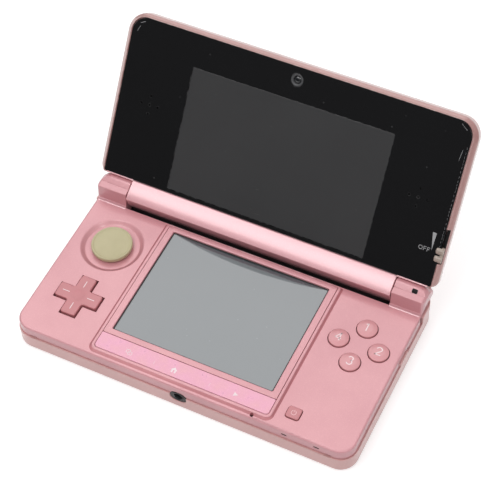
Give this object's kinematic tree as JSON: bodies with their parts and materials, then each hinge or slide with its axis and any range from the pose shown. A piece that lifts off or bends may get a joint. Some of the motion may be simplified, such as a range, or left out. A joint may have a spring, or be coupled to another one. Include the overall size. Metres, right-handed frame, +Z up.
{
  "type": "clamshell handheld game console",
  "caption": "Hinged pocket game console, open: wide upper display in a black panel, touch screen below, sliding pad, cross pad, round buttons, stylus and ridged side switches.",
  "frame": {"origin": "centre of the base's flat underside", "axes": "+X to the player's right, +Y from the front edge towards the hinge, +Z up"},
  "size_m": [0.134, 0.1099, 0.0694],
  "materials": {
    "satin_pink": "satin pearl",
    "barrel_pink": "glossy pearl",
    "side_pink": "satin pearl",
    "key_rose": "satin",
    "strip_film": "gloss",
    "cap_beige": "satin",
    "knob_grey": "satin",
    "panel_black": "gloss",
    "screen_dark": "satin gloss",
    "touch_glass": "satin",
    "lens_glass": "gloss",
    "black_plastic": "satin",
    "smoked_window": "gloss",
    "light_pipe": "frosted",
    "silicone": "matt",
    "board_green": "solder mask",
    "steel": "satin",
    "tin": "matt",
    "contact_gold": "polished",
    "battery_grey": "satin",
    "ribbon_amber": "satin"
  },
  "bodies": {
    "base": {"lower_shell": "side_pink", "upper_shell": "satin_pink", "screen_surround": "satin_pink", "key_strip_film": "strip_film", "touch_panel": "touch_glass", "touch_display": "tin", "pad_tray": "black_plastic", "left_membrane": "silicone", "right_membrane": "silicone", "shoulder_pivot_pins": "steel", "memory_card_hinge_pin": "steel", "memory_card_socket": "steel", "headphone_jack": "black_plastic", "charging_connector": "black_plastic", "infrared_window": "smoked_window", "cradle_contacts": "contact_gold", "status_light_pipes": "light_pipe", "microphone": "steel", "notification_light": "smoked_window", "main_board": "board_green", "tact_switches": "steel", "processor_shield": "steel", "radio_module": "tin", "battery": "battery_grey", "game_card_reader": "steel", "cover_screws": "steel", "click_cartridge": "steel", "hinge_bush": "tin"},
    "lid": {"cam_shaft": "tin", "hinge_pin": "steel", "lid_frame": "barrel_pink", "lid_cover": "side_pink", "front_panel": "panel_black", "upper_display": "screen_dark", "inner_camera": "lens_glass", "stereo_cameras": "black_plastic", "camera_windows": "lens_glass", "speakers": "black_plastic", "slider_board": "board_green", "display_ribbon": "ribbon_amber"},
    "depth_knob": {"depth_slider": "knob_grey"},
    "select_plunger": {"select_key": "key_rose"},
    "home_plunger": {"home_key": "key_rose"},
    "start_plunger": {"start_key": "key_rose"},
    "pad_carriage": {"pad_cross_slider": "tin"},
    "pad_cap": {"circle_pad": "cap_beige"},
    "cross_rocker": {"direction_pad_rocker": "tin"},
    "cross_cap": {"direction_pad": "key_rose"},
    "north_cap": {"button_north": "key_rose"},
    "east_cap": {"button_east": "key_rose"},
    "south_cap": {"button_south": "key_rose"},
    "west_cap": {"button_west": "key_rose"},
    "power_cap": {"power_button": "key_rose"},
    "left_shoulder": {"left_shoulder_button": "side_pink"},
    "right_shoulder": {"right_shoulder_button": "side_pink"},
    "wireless_knob": {"wireless_switch": "side_pink"},
    "volume_knob": {"volume_slider": "side_pink"},
    "card_door": {"memory_card_door": "side_pink"},
    "pen_barrel": {"stylus_barrel": "panel_black"},
    "pen_rod": {"stylus_rod": "steel"}
  },
  "joints": [
    {"name": "lid_hinge", "type": "hinge", "parent": "base", "child": "lid", "pos_m": [0, 0.02995, 0.0143], "axis": [-1, 0, 0], "range_deg": [-125, 28]},
    {"name": "depth_slide", "type": "slide", "parent": "lid", "child": "depth_knob", "axis": [0, 0.5736, 0.8192], "range_m": [0, 0.0066]},
    {"name": "pad_slide_y", "type": "slide", "parent": "base", "child": "pad_carriage", "axis": [0, 1, 0], "range_m": [-0.0017, 0.0017], "stiffness_N_per_m": 150},
    {"name": "pad_slide_x", "type": "slide", "parent": "pad_carriage", "child": "pad_cap", "axis": [1, 0, 0], "range_m": [-0.0017, 0.0017], "stiffness_N_per_m": 150},
    {"name": "cross_tilt_front", "type": "hinge", "parent": "base", "child": "cross_rocker", "pos_m": [-0.049, -0.0171, 0.0082], "axis": [1, 0, 0], "range_deg": [-3, 3], "stiffness_Nm_per_rad": 0.06},
    {"name": "cross_tilt_side", "type": "hinge", "parent": "cross_rocker", "child": "cross_cap", "pos_m": [-0.049, -0.0171, 0.0082], "axis": [0, 1, 0], "range_deg": [-3, 3], "stiffness_Nm_per_rad": 0.06},
    {"name": "north_press", "type": "slide", "parent": "base", "child": "north_cap", "axis": [0, 0, -1], "range_m": [0, 0.0007], "stiffness_N_per_m": 400},
    {"name": "east_press", "type": "slide", "parent": "base", "child": "east_cap", "axis": [0, 0, -1], "range_m": [0, 0.0007], "stiffness_N_per_m": 400},
    {"name": "south_press", "type": "slide", "parent": "base", "child": "south_cap", "axis": [0, 0, -1], "range_m": [0, 0.0007], "stiffness_N_per_m": 400},
    {"name": "west_press", "type": "slide", "parent": "base", "child": "west_cap", "axis": [0, 0, -1], "range_m": [0, 0.0007], "stiffness_N_per_m": 400},
    {"name": "power_press", "type": "slide", "parent": "base", "child": "power_cap", "axis": [0, 0, -1], "range_m": [0, 0.0003], "stiffness_N_per_m": 1500},
    {"name": "select_press", "type": "slide", "parent": "base", "child": "select_plunger", "axis": [0, 0, -1], "range_m": [0, 0.00025], "stiffness_N_per_m": 1500},
    {"name": "home_press", "type": "slide", "parent": "base", "child": "home_plunger", "axis": [0, 0, -1], "range_m": [0, 0.00025], "stiffness_N_per_m": 1500},
    {"name": "start_press", "type": "slide", "parent": "base", "child": "start_plunger", "axis": [0, 0, -1], "range_m": [0, 0.00025], "stiffness_N_per_m": 1500},
    {"name": "left_shoulder_press", "type": "hinge", "parent": "base", "child": "left_shoulder", "pos_m": [-0.0553, 0.0337, 0.0088], "axis": [0, 0, 1], "range_deg": [0, 4], "stiffness_Nm_per_rad": 0.05},
    {"name": "right_shoulder_press", "type": "hinge", "parent": "base", "child": "right_shoulder", "pos_m": [0.0553, 0.0337, 0.0088], "axis": [0, 0, -1], "range_deg": [0, 4], "stiffness_Nm_per_rad": 0.05},
    {"name": "wireless_slide", "type": "slide", "parent": "base", "child": "wireless_knob", "axis": [0, 1, 0], "range_m": [0, 0.0015], "stiffness_N_per_m": 300},
    {"name": "volume_slide", "type": "slide", "parent": "base", "child": "volume_knob", "axis": [0, 1, 0], "range_m": [-0.0035, 0.0035]},
    {"name": "card_door_swing", "type": "hinge", "parent": "base", "child": "card_door", "pos_m": [-0.06465, 0.0021, 0.0043], "axis": [0, 0, 1], "range_deg": [0, 90]},
    {"name": "stylus_slide", "type": "slide", "parent": "base", "child": "pen_barrel", "axis": [0, 1, 0], "range_m": [0, 0.064]},
    {"name": "stylus_telescope", "type": "slide", "parent": "pen_barrel", "child": "pen_rod", "axis": [0, -1, 0], "range_m": [0, 0.022]}
  ],
  "couplings": [
    {"joint": "stylus_telescope", "follows": "stylus_slide", "ratio": 0.34}
  ]
}
